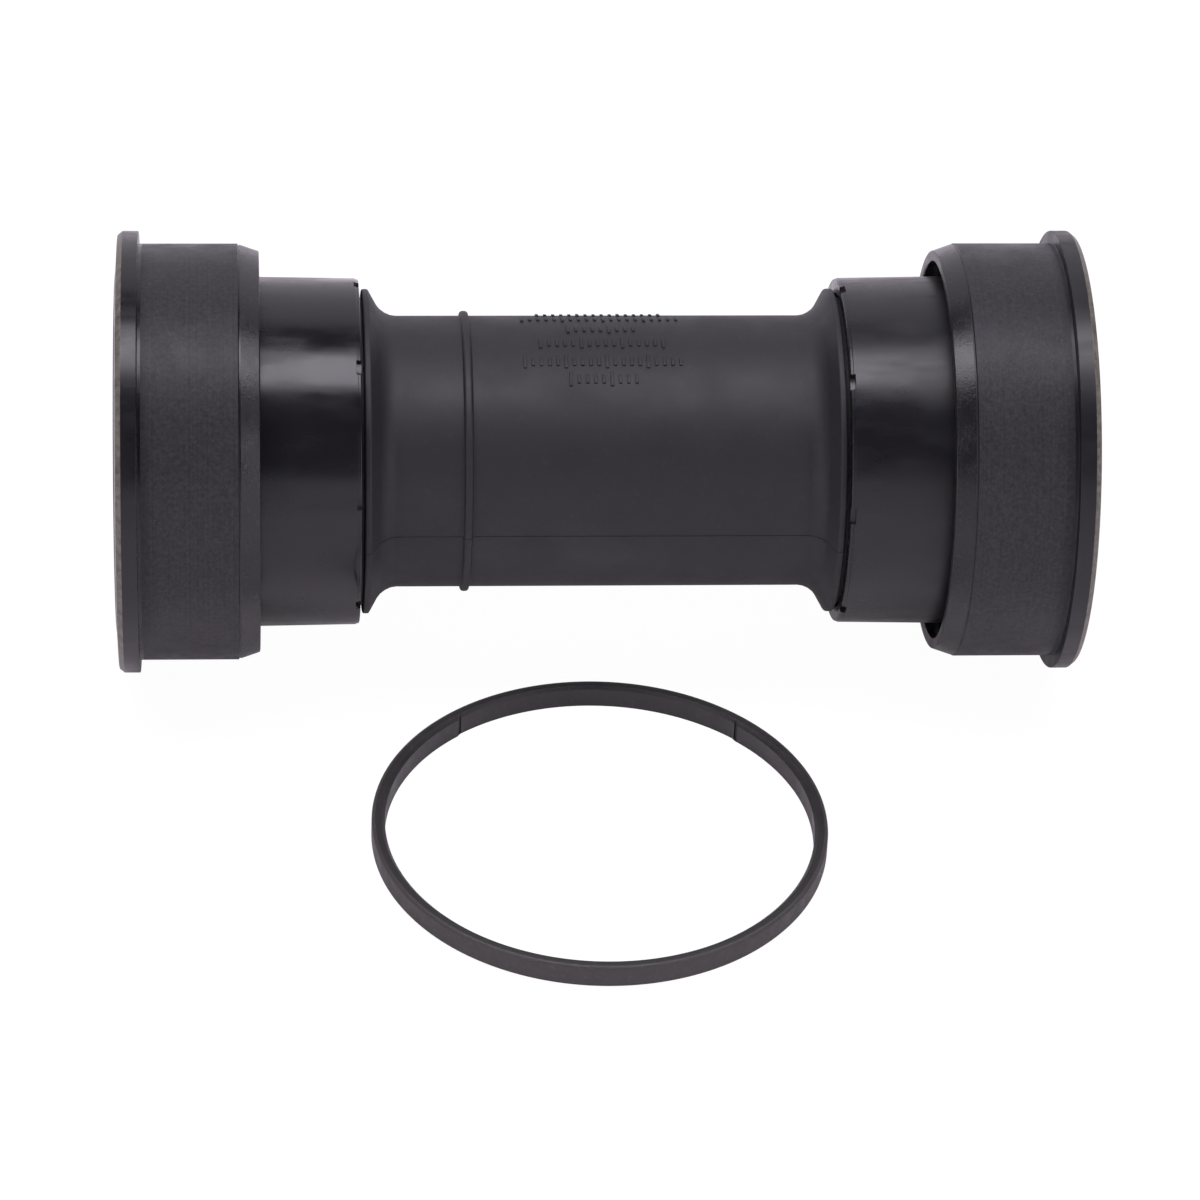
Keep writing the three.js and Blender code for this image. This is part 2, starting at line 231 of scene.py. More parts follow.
class StageSettings(bpy.types.PropertyGroup):
    softbox: level("Softbox", "Brightness of the softbox over the bench", 5.3)
    backdrop: level("Backdrop", "Brightness of the white backdrop", 0.75)
    front_card: level("Front card", "Brightness of the low card in front of the bench", 0.75)
    strips: level("Strips", "Brightness of the upright strips to the left and right", 3.5)
    burn: bpy.props.FloatProperty(
        name="Overexposure",
        description="How far the paper's shadows are burnt out",
        default=0.9,
        min=0.0,
        max=1.0,
        subtype="FACTOR",
    )
    lens: bpy.props.FloatProperty(
        name="Lens",
        description="Focal length in millimetres on a 36 mm sensor",
        default=167.9,
        subtype="DISTANCE_CAMERA",
    )


class BracketSettings(bpy.types.PropertyGroup):
    cup: bpy.props.PointerProperty(type=CupSizes)
    sleeve: bpy.props.PointerProperty(type=SleeveSizes)
    bearing: bpy.props.PointerProperty(type=BearingSizes)
    cover: bpy.props.PointerProperty(type=CoverSizes)
    spacer: bpy.props.PointerProperty(type=SpacerSizes)
    colours: bpy.props.PointerProperty(type=FinishColours)
    stage: bpy.props.PointerProperty(type=StageSettings)


# ---- selecting ----
def only(obj):
    """Selects one object, makes it active and leaves edit mode."""
    if bpy.context.object and bpy.context.object.mode != "OBJECT":
        bpy.ops.object.mode_set(mode="OBJECT")
    bpy.ops.object.select_all(action="DESELECT")
    if obj:
        obj.select_set(True)
        bpy.context.view_layer.objects.active = obj


def edit(obj, mode="VERT"):
    """Opens one object in edit mode with nothing selected."""
    only(obj)
    bpy.ops.object.mode_set(mode="EDIT")
    bpy.ops.mesh.select_mode(type=mode)
    bpy.ops.mesh.select_all(action="DESELECT")


def pick(obj, kind, test):
    """Selects the "verts", "edges" or "faces" that pass a test, in edit mode."""
    mesh = bmesh.from_edit_mesh(obj.data)
    for element in getattr(mesh, kind):
        element.select_set(test(element))
    mesh.select_flush_mode()
    bmesh.update_edit_mesh(obj.data)


def weld():
    """Selects everything and merges doubled vertices, in edit mode."""
    bpy.ops.mesh.select_all(action="SELECT")
    bpy.ops.mesh.remove_doubles(threshold=WELD)


def close():
    """Leaves edit mode and returns the object."""
    bpy.ops.object.mode_set(mode="OBJECT")
    return bpy.context.object


# ---- modelling ----
def trim_length(before, corner, after, rounding):
    """How far along each edge a rounding of that radius starts."""
    one = before - corner
    two = after - corner
    reach = rounding / math.tan(one.angle(two) / 2)
    most = 0.49  # of an edge, so that the roundings at its two ends never meet
    return min(reach, most * one.length, most * two.length)


def turned(name, corners, centre=AXIS, along=X_AXIS, out=Z_AXIS, steps=STEPS):
    """Draws a closed outline by extruding a vertex, rounds its corners and spins it round an axis."""
    only(None)
    places = [centre + along * a + out * r for a, r, _ in corners]
    bpy.ops.mesh.primitive_plane_add(size=MM, location=places[0])
    obj = bpy.context.object
    obj.name = name
    bpy.ops.object.transform_apply(location=True, rotation=False, scale=False)
    edit(obj)
    bpy.ops.mesh.select_all(action="SELECT")
    bpy.ops.mesh.merge(type="CENTER")
    for here, there in zip(places, places[1:] + places[:1]):
        bpy.ops.mesh.extrude_region_move(TRANSFORM_OT_translate={"value": there - here})
    weld()
    for i, (_, _, rounding) in enumerate(corners):
        if rounding:
            place = places[i]
            reach = trim_length(places[i - 1], place, places[(i + 1) % len(places)], rounding)
            pick(obj, "verts", lambda v: (v.co - place).length < WELD)
            bpy.ops.mesh.bevel(offset=reach, segments=ROUND_STEPS, affect="VERTICES")
    bpy.ops.mesh.select_all(action="SELECT")
    bpy.ops.mesh.spin(steps=steps, angle=math.tau, center=centre, axis=along)
    weld()
    bpy.ops.mesh.normals_make_consistent(inside=False)
    return close()


def block(name, low, high, edge):
    """A rectangular block between two corners, with its edges rounded."""
    only(None)
    low = Vector(low)
    high = Vector(high)
    bpy.ops.mesh.primitive_cube_add(size=1, location=(low + high) / 2)
    obj = bpy.context.object
    obj.name = name
    obj.scale = high - low
    bpy.ops.object.transform_apply(location=True, rotation=False, scale=True)
    edit(obj, "EDGE")
    bpy.ops.mesh.select_all(action="SELECT")
    bpy.ops.mesh.bevel(offset=edge, segments=2, affect="EDGES")
    return close()


def copy_of(obj, name, matrix):
    """A copy with a mesh of its own, moved by a matrix that is then applied."""
    made = obj.copy()
    made.data = obj.data.copy()
    made.name = name
    bpy.context.scene.collection.objects.link(made)
    made.matrix_world = matrix
    only(made)
    bpy.ops.object.transform_apply(location=True, rotation=True, scale=True)
    return made


def about(centre, axis, angle):
    """The matrix of a turn about an axis through a point."""
    return Matrix.Translation(centre) @ Matrix.Rotation(angle, 4, axis) @ Matrix.Translation(-centre)


def ring_of(obj, count, first=0.0):
    """Joins copies of a piece, spread evenly round the axis, into one object in place of the piece."""
    copies = [
        copy_of(obj, f"{obj.name}_{i}", about(AXIS, X_AXIS, first + math.tau * i / count))
        for i in range(count)
    ]
    bpy.data.objects.remove(obj)
    return joined(copies)


def joined(objects):
    """Joins objects into the first."""
    only(objects[0])
    for obj in objects:
        obj.select_set(True)
    bpy.ops.object.join()
    return bpy.context.object


def combine(obj, tool, operation):
    """Joins or cuts with another solid, which is then removed."""
    only(obj)
    modifier = obj.modifiers.new("combine", "BOOLEAN")
    modifier.object = tool
    modifier.operation = operation
    modifier.solver = "EXACT"
    bpy.ops.object.modifier_apply(modifier=modifier.name)
    bpy.data.objects.remove(tool)
    edit(obj)
    weld()
    return close()


def other_side(obj, name):
    """The same piece on the right, made by turning the left one end for end."""
    return copy_of(obj, name, about(AXIS, Z_AXIS, math.pi))


def radius_of(place):
    """Distance of a point from the bracket's axis."""
    return math.hypot(place.y - AXIS.y, place.z - AXIS.z)


def band(start, end, radius):
    """A test for faces between two places along the axis and outside a radius."""

    def test(face):
        place = face.calc_center_median()
        return start < place.x < end and radius_of(place) > radius

    return test


def assign(obj, material, test):
    """Gives a material to the faces that pass a test."""
    obj.data.materials.append(material)
    index = len(obj.data.materials) - 1
    edit(obj, "FACE")
    pick(obj, "faces", test)
    obj.active_material_index = index
    bpy.ops.object.material_slot_assign()
    close()


def hand_over(obj, body, nodes):
    """Smooths a finished piece and ties it to the frame."""
    only(obj)
    bpy.ops.object.shade_smooth_by_angle(angle=SHARP)
    modifier = obj.modifiers.new("even shading", "WEIGHTED_NORMAL")
    modifier.keep_sharp = True
    bpy.ops.object.modifier_apply(modifier=modifier.name)
    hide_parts(*nodes)
    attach(obj, body)


def hand_over_pair(left, right, body, node):
    """Hands over a piece and its twin. body and node are named without the side."""
    for side, piece in zip(SIDES, (left, right)):
        hand_over(piece, f"{side}_{body}", [f"{side}_{node}"])


# ---- materials ----
def add_node(tree, kind, inputs=None, **settings):
    """Adds a node with its settings, and sets or links its inputs.

    Inputs go by name or number. MapRange takes 1 to 2 on to 3 to 4, and Mix goes from 6 to 7 as 0 grows.
    """
    made = tree.nodes.new("ShaderNode" + kind)
    for key, value in settings.items():
        setattr(made, key, value)
    for key, value in (inputs or {}).items():
        if isinstance(value, bpy.types.Node):
            value = value.outputs[0]
        if isinstance(value, bpy.types.NodeSocket):
            tree.links.new(value, made.inputs[key])
        else:
            made.inputs[key].default_value = value
    return made


def new_material(name, rough, metal=0.0, ior=1.5):
    """A new material, with its node tree and its surface shader."""
    material = bpy.data.materials.new(name)
    material.use_nodes = True
    shader = material.node_tree.nodes["Principled BSDF"]
    shader.inputs["Roughness"].default_value = rough
    shader.inputs["Metallic"].default_value = metal
    shader.inputs["IOR"].default_value = ior
    return material, material.node_tree, shader


def finish_with(shader, tone, gloss, relief):
    """Gives the surface its colour, its gloss and its texture."""
    links = shader.id_data.links
    links.new(tone, shader.inputs["Base Color"])
    links.new(gloss.outputs[0], shader.inputs["Roughness"])
    links.new(relief.outputs[0], shader.inputs["Normal"])


def on_axis(tree, centre=AXIS):
    """Coordinates in metres, counted from a point on the piece's axis."""
    coords = add_node(tree, "TexCoord").outputs["Object"]
    return add_node(tree, "VectorMath", {0: coords, 1: centre}, operation="SUBTRACT")


def lathe_marks(tree, place, pitch):
    """Lines that run round the X axis, on cylinders and on end faces alike."""
    parts = add_node(tree, "SeparateXYZ", {0: place})
    across = add_node(tree, "CombineXYZ", {"Y": parts.outputs["Y"], "Z": parts.outputs["Z"]})
    radius = add_node(tree, "VectorMath", {0: across}, operation="LENGTH").outputs["Value"]
    section = add_node(tree, "CombineXYZ", {"X": parts.outputs["X"], "Y": radius})
    marks = {"Vector": section, "Scale": 1 / pitch, "Detail": 4.0, "Roughness": 0.65}
    return add_node(tree, "TexNoise", marks, noise_dimensions="2D")


def black_plastic(name, base, rough, smudge, grain, height, speck, centre=AXIS):
    """Black plastic with uneven gloss, a fine grain and pale specks.

    rough is the gloss and its spread, smudge the size of its patches, grain and height the size and
    depth of the skin's texture, and speck how much the specks show.
    """
    material, tree, shader = new_material(name, rough[0], ior=PLASTIC_IOR)
    place = on_axis(tree, centre)
    dull = {"Vector": place, "Scale": 1 / smudge, "Detail": 4.0, "Roughness": 0.6}
    dull = add_node(tree, "TexNoise", dull)
    gloss = {0: dull, 1: 0.35, 2: 0.7, 3: rough[0], 4: rough[0] + rough[1]}
    gloss = add_node(tree, "MapRange", gloss)
    skin = {"Vector": place, "Scale": 1 / grain, "Detail": 3.0, "Roughness": 0.6}
    skin = add_node(tree, "TexNoise", skin)
    dots = {"Vector": place, "Scale": 1 / (2.2 * grain), "Detail": 6.0, "Roughness": 0.75}
    dots = add_node(tree, "TexNoise", dots)
    dots = add_node(tree, "MapRange", {0: dots, 1: 0.56, 2: 0.74, 3: 0.0, 4: speck})
    dust = linear("8A8885")
    tone = {0: dots, 6: (*base, 1.0), 7: dust}
    tone = add_node(tree, "Mix", tone, data_type="RGBA").outputs[2]
    relief = add_node(tree, "Bump", {"Height": skin, "Distance": height})
    finish_with(shader, tone, gloss, relief)
    return material


def turned_nylon(colours):
    """Glass-filled nylon, turned to size: matte, with fine lines round the cup."""
    surface = {"rough": (0.34, 0.16), "smudge": 3 * MM, "grain": 0.12 * MM, "height": 1.2e-5, "speck": 0.1}
    material = black_plastic("turned nylon", colours.turned, **surface)
    tree = material.node_tree
    shader = tree.nodes["Principled BSDF"]
    shader.inputs["Specular IOR Level"].default_value = 0.22
    # A tool's feed of 0.1 mm is too fine to show, so the lines are drawn 0.25 mm apart.
    marks = lathe_marks(tree, on_axis(tree), 0.25 * MM)
    skin = shader.inputs["Normal"].links[0].from_node
    cut = {"Height": marks, "Distance": 1.2e-5, "Strength": 0.8, "Normal": skin}
    tree.links.new(add_node(tree, "Bump", cut).outputs[0], shader.inputs["Normal"])
    # The tool bares glass fibres, which show as a pale mottle between the lines.
    fibres = {"Vector": on_axis(tree), "Scale": 1 / (0.4 * MM), "Detail": 5.0, "Roughness": 0.75}
    fibres = add_node(tree, "TexNoise", fibres)
    lined = {0: marks, 1: 0.35, 2: fibres}
    fibres = add_node(tree, "Math", lined, operation="MULTIPLY_ADD")
    fibres = add_node(tree, "MapRange", {0: fibres, 1: 0.45, 2: 0.9, 3: 0.62, 4: 1.42})
    tone = shader.inputs["Base Color"].links[0].from_socket
    tone = {0: tone, "Scale": fibres}
    tone = add_node(tree, "VectorMath", tone, operation="SCALE")
    tree.links.new(tone.outputs[0], shader.inputs["Base Color"])
    return material


def moulded_nylon(colours):
    """The same nylon as it leaves a polished mould: glossy, with smudges and faint handling marks."""
    surface = {"rough": (0.115, 0.11), "smudge": 5 * MM, "grain": 0.5 * MM, "height": 1.2e-6, "speck": 0.0}
    material = black_plastic("moulded nylon", colours.nylon, **surface)
    tree = material.node_tree
    shader = tree.nodes["Principled BSDF"]
    gloss = shader.inputs["Roughness"].links[0].from_node
    # The right cup has been handled more than the left, and fingers have wiped wisps across both.
    place = on_axis(tree)
    parts = add_node(tree, "SeparateXYZ", {0: place})
    handled = {0: parts.outputs["X"], 1: -26 * MM, 2: 26 * MM, 3: 0.0, 4: 0.1}
    handled = add_node(tree, "MapRange", handled)
    # The tube's free end is the most polished part of the mould.
    inward = add_node(tree, "Math", {0: parts.outputs["X"]}, operation="ABSOLUTE")
    duller = add_node(tree, "MapRange", {0: inward, 1: 25 * MM, 2: 33 * MM, 3: 0.0, 4: 0.08})
    slant = {"Vector": place, "Rotation": (0.5, 0.3, 0.6), "Scale": (0.35, 1.6, 1.0)}
    slant = add_node(tree, "Mapping", slant)
    wisps = {"Vector": slant, "Scale": 1 / (2.6 * MM), "Detail": 2.0}
    wisps = add_node(tree, "TexNoise", wisps)
    wisps = add_node(tree, "MapRange", {0: wisps, 1: 0.45, 2: 0.8, 3: 0.0, 4: 0.13})
    for addition in (handled, duller, wisps):
        gloss = add_node(tree, "Math", {0: gloss, 1: addition}, operation="ADD")
    tree.links.new(gloss.outputs[0], shader.inputs["Roughness"])
    return material


def rubbed_nylon(colours):
    """The same nylon where the flange's edge has been rubbed: paler, warmer and chipped in places."""
    material, tree, shader = new_material("rubbed nylon", 0.4, ior=PLASTIC_IOR)
    place = on_axis(tree)
    chips = {"Vector": place, "Scale": 1 / (0.9 * MM), "Detail": 6.0, "Roughness": 0.7}
    chips = add_node(tree, "TexNoise", chips)
    rubbed = add_node(tree, "MapRange", {0: chips, 1: 0.35, 2: 0.6, 3: 0.35, 4: 1.0})
    tone = {0: rubbed, 6: (*colours.nylon, 1.0), 7: (*colours.rubbed, 1.0)}
    tone = add_node(tree, "Mix", tone, data_type="RGBA").outputs[2]
    gloss = add_node(tree, "MapRange", {0: rubbed, 1: 0.0, 2: 1.0, 3: 0.22, 4: 0.5})
    relief = add_node(tree, "Bump", {"Height": chips, "Distance": 1e-5, "Strength": 0.4})
    finish_with(shader, tone, gloss, relief)
    return material


def eroded_nylon(colours):
    """The same nylon from a spark-eroded face of the mould: glossy, with a sandy grain that glitters."""
    surface = {"rough": (0.2, 0.1), "smudge": 2 * MM, "grain": 0.26 * MM, "height": 2e-5, "speck": 0.12}
    material = black_plastic("spark-eroded nylon", colours.nylon, **surface)
    tree = material.node_tree
    shader = tree.nodes["Principled BSDF"]
    gloss = shader.inputs["Roughness"].links[0].from_node
    tone = shader.inputs["Base Color"].links[0].from_socket
    # The left cup's chamfer is a little rougher than the right's, and its colour is mixed a little towards a
    # paler grey.
    parts = add_node(tree, "SeparateXYZ", {0: on_axis(tree)})
    rougher_paler = {0: parts.outputs["X"], 1: -10 * MM, 2: 10 * MM, 3: 0.06, 4: 0.0}
    rougher_paler = add_node(tree, "MapRange", rougher_paler)
    gloss = add_node(tree, "Math", {0: gloss, 1: rougher_paler}, operation="ADD")
    paler_grey = linear("6E6B70")
    tone = {0: rougher_paler, 6: tone, 7: paler_grey}
    tone = add_node(tree, "Mix", tone, data_type="RGBA").outputs[2]
    tree.links.new(gloss.outputs[0], shader.inputs["Roughness"])
    tree.links.new(tone, shader.inputs["Base Color"])
    return material


def sleeve_polyamide(colours):
    """Plain moulded polyamide: satin, with faint dust and flow marks."""
    surface = {"rough": (0.52, 0.12), "smudge": 6 * MM, "grain": 0.3 * MM, "height": 3e-6, "speck": 0.05}
    return black_plastic("satin polyamide", colours.sleeve, **surface)


def spacer_polyamide(colours):
    """Moulded polyamide of the thin ring: satin, with a few pale specks of dust."""
    surface = {"rough": (0.4, 0.16), "smudge": 3 * MM, "grain": 0.2 * MM, "height": 4e-6, "speck": 0.12}
    return black_plastic("ring polyamide", colours.spacer, centre=SPACER_CENTRE, **surface)


def scuffed_polyamide(colours):
    """The same plastic round the ring's outside, where sliding about has scuffed it pale and brownish."""
    surface = {"rough": (0.5, 0.16), "smudge": 1.5 * MM, "grain": 0.2 * MM, "height": 8e-6, "speck": 0.2}
    return black_plastic("scuffed polyamide", colours.scuffed, centre=SPACER_CENTRE, **surface)


def cover_acetal(colours):
    """Moulded acetal: slippery and semi-gloss, with a very fine grain."""
    surface = {"rough": (0.3, 0.12), "smudge": 5 * MM, "grain": 0.25 * MM, "height": 3e-6, "speck": 0.06}
    return black_plastic("moulded acetal", colours.cover, **surface)


def nitrile(colours):
    """Nitrile rubber, compression moulded: dull, with a bloom of pale wax."""
    surface = {"rough": (0.55, 0.2), "smudge": 2 * MM, "grain": 0.15 * MM, "height": 5e-6, "speck": 0.15}
    return black_plastic("nitrile rubber", colours.rubber, **surface)


def greased_nitrile(colours):
    """The same rubber under a film of grease: darker and shinier."""
    surface = {"rough": (0.22, 0.12), "smudge": 2 * MM, "grain": 0.3 * MM, "height": 3e-6, "speck": 0.0}
    return black_plastic("greased nitrile", colours.rubber, **surface)


def cage_polyamide(colours):
    """Natural glass-filled polyamide: tan and satin, darker where grease has soaked in."""
    material, tree, shader = new_material("natural polyamide", 0.42)
    place = on_axis(tree)
    soaked = {"Vector": place, "Scale": 1 / (2 * MM), "Detail": 5.0, "Roughness": 0.6}
    soaked = add_node(tree, "TexNoise", soaked)
    greasy = [0.55 * c for c in colours.cage]
    tone = {0: soaked, 6: (*greasy, 1.0), 7: (*colours.cage, 1.0)}
    tone = add_node(tree, "Mix", tone, data_type="RGBA").outputs[2]
    gloss = add_node(tree, "MapRange", {0: soaked, 1: 0.3, 2: 0.7, 3: 0.28, 4: 0.5})
    relief = add_node(tree, "Bump", {"Height": soaked, "Distance": 4e-6})
    finish_with(shader, tone, gloss, relief)
    return material


def steel(name, tint, rough, pitch, depth):
    """Bearing steel. Grinding leaves lines round it, and oil leaves patches that are a little duller."""
    material, tree, shader = new_material(name, rough, metal=1.0)
    place = on_axis(tree)
    marks = lathe_marks(tree, place, pitch)
    film = add_node(tree, "TexNoise", {"Vector": place, "Scale": 1 / (3 * MM), "Detail": 3.0})
    gloss = add_node(tree, "MapRange", {0: film, 1: 0.35, 2: 0.7, 3: rough, 4: 1.8 * rough})
    bright = linear(tint)
    oiled = [0.82 * c for c in bright[:3]] + [1.0]
    tone = {0: film, 6: bright, 7: oiled}
    tone = add_node(tree, "Mix", tone, data_type="RGBA").outputs[2]
    relief = add_node(tree, "Bump", {"Height": marks, "Distance": depth})
    finish_with(shader, tone, gloss, relief)
    return material


def ground_steel():
    """Chrome steel, hardened and ground: bright, with fine lines round the ring."""
    return steel("ground chrome steel", "C4C6C9", 0.2, 0.12 * MM, 2e-6)


def lapped_steel():
    """Chrome steel, lapped to a mirror."""
    return steel("lapped chrome steel", "D2D4D6", 0.07, 0.4 * MM, 1e-7)


def white_sweep(shown):
    """Matt white paper, overexposed: shadows on it all but vanish, though the pieces still mirror them."""
    material, tree, paper = new_material("white paper", 0.8)
    place = on_axis(tree)
    tooth = add_node(tree, "TexNoise", {"Vector": place, "Scale": 1 / (0.4 * MM)})
    relief = add_node(tree, "Bump", {"Height": tooth, "Distance": 1e-6})
    paper.inputs["Base Color"].default_value = linear("E3DCE3")
    paper.inputs["Specular IOR Level"].default_value = 0.0
    paper.inputs["Emission Color"].default_value = linear("FFF7FF")
    paper.inputs["Emission Strength"].default_value = 0.2
    tree.links.new(relief.outputs[0], paper.inputs["Normal"])
    burnt = add_node(tree, "Emission", {"Strength": 1.06})
    seen = add_node(tree, "LightPath").outputs["Is Camera Ray"]
    share = add_node(tree, "Math", {0: seen, 1: shown}, operation="MULTIPLY")
    mixed = add_node(tree, "MixShader", {0: share, 1: paper, 2: burnt})
    tree.links.new(mixed.outputs[0], tree.nodes["Material Output"].inputs["Surface"])
    return material


# ---- cups ----
def cup_corners(c):
    """The cup's outline, counted from the flange's inner face towards the sleeve."""
    crown = CUP_LOW.x - FLANGE_FACE
    tip = CUP_HIGH.x - FLANGE_FACE
    edge = c.rim + c.edge_length
    lip_plane = c.press_length + c.lead_length
    lip_radius = c.press_radius - c.lead_drop
    step = 0.08 * MM  # low step round the tube's very end, and where the turning stops
    step_place = tip - 4 * step
    mouth = 0.25 * MM  # chamfer that leads the bearing in
    r = c.rounding
    # These loops keep the long faces clear of the ribs and notches that are added later.
    rib_clear = c.rib_setback - 0.3 * MM
    notch_clear = c.notch_depth + 0.3 * MM

    def tube_at(place):
        share = (place - c.floor) / (step_place - c.floor)
        return c.tube_root + share * (c.tube_tip - c.tube_root)

    return [
        (crown, c.seat + mouth, r / 2),
        (-edge, c.flange_radius - c.edge_drop, r),
        (-c.rim, c.flange_radius, r / 2),
        (0, c.flange_radius, r / 2),
        (0, c.press_radius, r / 3),
        (c.relief, c.press_radius, 0),
        (c.press_length, c.press_radius, r / 3),
        (c.press_length + step, c.press_radius - 2 * step, r / 4),
        (c.press_length + 3 * step, c.press_radius - 1.4 * step, r / 4),
        (lip_plane, lip_radius, r),
        (lip_plane, lip_radius - c.lip, r),
        (lip_plane - rib_clear, lip_radius - c.lip, 0),
        (c.floor, lip_radius - c.lip, 2 * r),
        (c.floor, c.tube_root, 2 * r),
        (lip_plane - rib_clear, tube_at(lip_plane - rib_clear), 0),
        (tip - notch_clear, tube_at(tip - notch_clear), 0),
        (step_place, c.tube_tip, step / 2),
        (step_place, c.tube_tip - step, step / 2),
        (tip, c.tube_tip - step, r),
        (tip, c.bore, r),
        (c.web, c.bore, r),
        (c.web, c.seat, r / 2),
        (crown + mouth, c.seat, 0),
    ]


def cup_ribs(c):
    """The ribs that cross the cored groove."""
    half = c.rib_width / 2
    bury = 0.4 * MM
    lip_plane = c.press_length + c.lead_length
    inner = AXIS.z + c.tube_tip - bury
    outer = AXIS.z + c.press_radius - c.lead_drop - c.lip + bury
    low = (FLANGE_FACE + c.floor - bury, AXIS.y - half, inner)
    high = (FLANGE_FACE + lip_plane - c.rib_setback, AXIS.y + half, outer)
    edge = 0.12 * MM
    return ring_of(block("rib", low, high, edge), c.ribs, c.rib_turn)


def cup_notches(c):
    """What is cut away at the end of the tube."""
    half = c.notch_width / 2
    radial = 0.6 * MM
    clear = 1 * MM
    low = (CUP_HIGH.x - c.notch_depth, AXIS.y - half, AXIS.z + c.tube_tip - radial)
    high = (CUP_HIGH.x + clear, AXIS.y + half, AXIS.z + c.tube_tip + clear)
    edge = 0.08 * MM
    return ring_of(block("notch", low, high, edge), c.notches, c.rib_turn)


class BRACKET_OT_cups(bpy.types.Operator):
    """Both flanged cups, with their cored grooves, ribs, notches and turned press surfaces"""

    bl_idname = "bracket.cups"
    bl_label = "Cups"

    def execute(self, context):
        settings = context.scene.press_fit_bracket
        c = settings.cup
        cup = turned("left_cup_moulding", cup_corners(c), axis_point(FLANGE_FACE), steps=FINE_STEPS)
        combine(cup, cup_ribs(c), "UNION")
        combine(cup, cup_notches(c), "DIFFERENCE")
        cup.data.materials.append(moulded_nylon(settings.colours))
        press_end = FLANGE_FACE + c.press_length
        lip_plane = press_end + c.lead_length
        margin = c.rounding / 2
        finishes = (
            (turned_nylon, FLANGE_FACE + c.relief, press_end, c.press_radius),
            (eroded_nylon, press_end + 2 * margin, lip_plane - margin, c.press_radius - c.lead_drop),
            (rubbed_nylon, CUP_LOW.x - margin, FLANGE_FACE - c.rim + margin, c.flange_radius - c.edge_drop),
        )
        for finish, start, end, radius in finishes:
            assign(cup, finish(settings.colours), band(start, end, radius - margin))
        facing = other_side(cup, "facing_cup")
        right_cup = copy_of(facing, "right_cup_moulding", about(AXIS, X_AXIS, c.right_turn))
        bpy.data.objects.remove(facing)
        hand_over_pair(cup, right_cup, "cup", "cup")
        return {"FINISHED"}


# ---- bearings ----
def arc(along, radial, radius, start, end, steps):
    """Corners along an arc, with angles in degrees from the axis."""
    turns = [math.radians(start + (end - start) * i / steps) for i in range(steps + 1)]
    return [(along + radius * math.cos(t), radial + radius * math.sin(t), 0) for t in turns]


def ring_corners(b, back, land, outward):
    """A bearing ring's outline, with its race. outward is 1 for the outer ring and -1 for the inner."""
    half = (RING_HIGH.x - RING_LOW.x) / 2
    ball_circle = (b.bore + RING_HIGH.z - AXIS.z) / 2
    reach = math.sqrt(b.race_radius**2 - b.shoulder**2)
    start = math.degrees(math.atan2(b.shoulder, reach))
    race_steps = 12
    race = arc(0, ball_circle, b.race_radius, outward * start, outward * (180 - start), race_steps)
    corner = b.chamfer
    return [(half, land, corner / 2)] + race + [
        (-half, land, corner / 2),
        (-half, back, corner),
        (half, back, corner),
    ]


class BRACKET_OT_bearing_rings(bpy.types.Operator):
    """The outer and inner rings of both ball bearings, with the races that the balls run in"""

    bl_idname = "bracket.bearing_rings"
    bl_label = "Bearing rings"

    def execute(self, context):
        b = context.scene.press_fit_bracket.bearing
        outer_radius = RING_HIGH.z - AXIS.z
        ball_circle = (b.bore + outer_radius) / 2
        middle = (RING_LOW.x + RING_HIGH.x) / 2
        rings = (
            ("outer_race", outer_radius, ball_circle + b.shoulder, 1, "cup", "outer_ring"),
            ("inner_race", b.bore, ball_circle - b.shoulder, -1, "inner", "inner_ring"),
        )
        finish = ground_steel()
        for name, back, land, outward, body, node in rings:
            corners = ring_corners(b, back, land, outward)
            ring = turned(f"left_{name}", corners, axis_point(middle))
            ring.data.materials.append(finish)
            facing = other_side(ring, f"right_{name}")
            hand_over_pair(ring, facing, body, f"bearing_{node}")
        return {"FINISHED"}


def ball(name, radius, cuts):
    """A ball made by dividing a cube and swelling it, at the world's origin."""
    only(None)
    bpy.ops.mesh.primitive_cube_add(size=2 * radius)
    obj = bpy.context.object
    obj.name = name
    edit(obj)
    bpy.ops.mesh.select_all(action="SELECT")
    bpy.ops.mesh.subdivide(number_cuts=cuts)
    bpy.ops.transform.tosphere(value=1.0)
    close()
    swollen = obj.data.vertices[0].co.length
    obj.scale = Vector((1, 1, 1)) * radius / swollen
    bpy.ops.object.transform_apply(location=False, rotation=False, scale=True)
    return obj


class BRACKET_OT_balls(bpy.types.Operator):
    """The balls of both bearings, each a piece of its own"""

    bl_idname = "bracket.balls"
    bl_label = "Balls"

    def execute(self, context):
        finish = lapped_steel()
        low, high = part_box("left_ball_01")
        master = ball("ball", (high.x - low.x) / 2, cuts=7)
        master.data.materials.append(finish)
        for side in SIDES:
            for i in range(BALLS_PER_SIDE):
                node = f"{side}_ball_{i + 1:02d}"
                low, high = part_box(node)
                place = Matrix.Translation((low + high) / 2)
                piece = copy_of(master, f"{side}_lapped_ball_{i + 1:02d}", place)
                hand_over(piece, f"{side}_balls", [node])
        bpy.data.objects.remove(master)
        return {"FINISHED"}


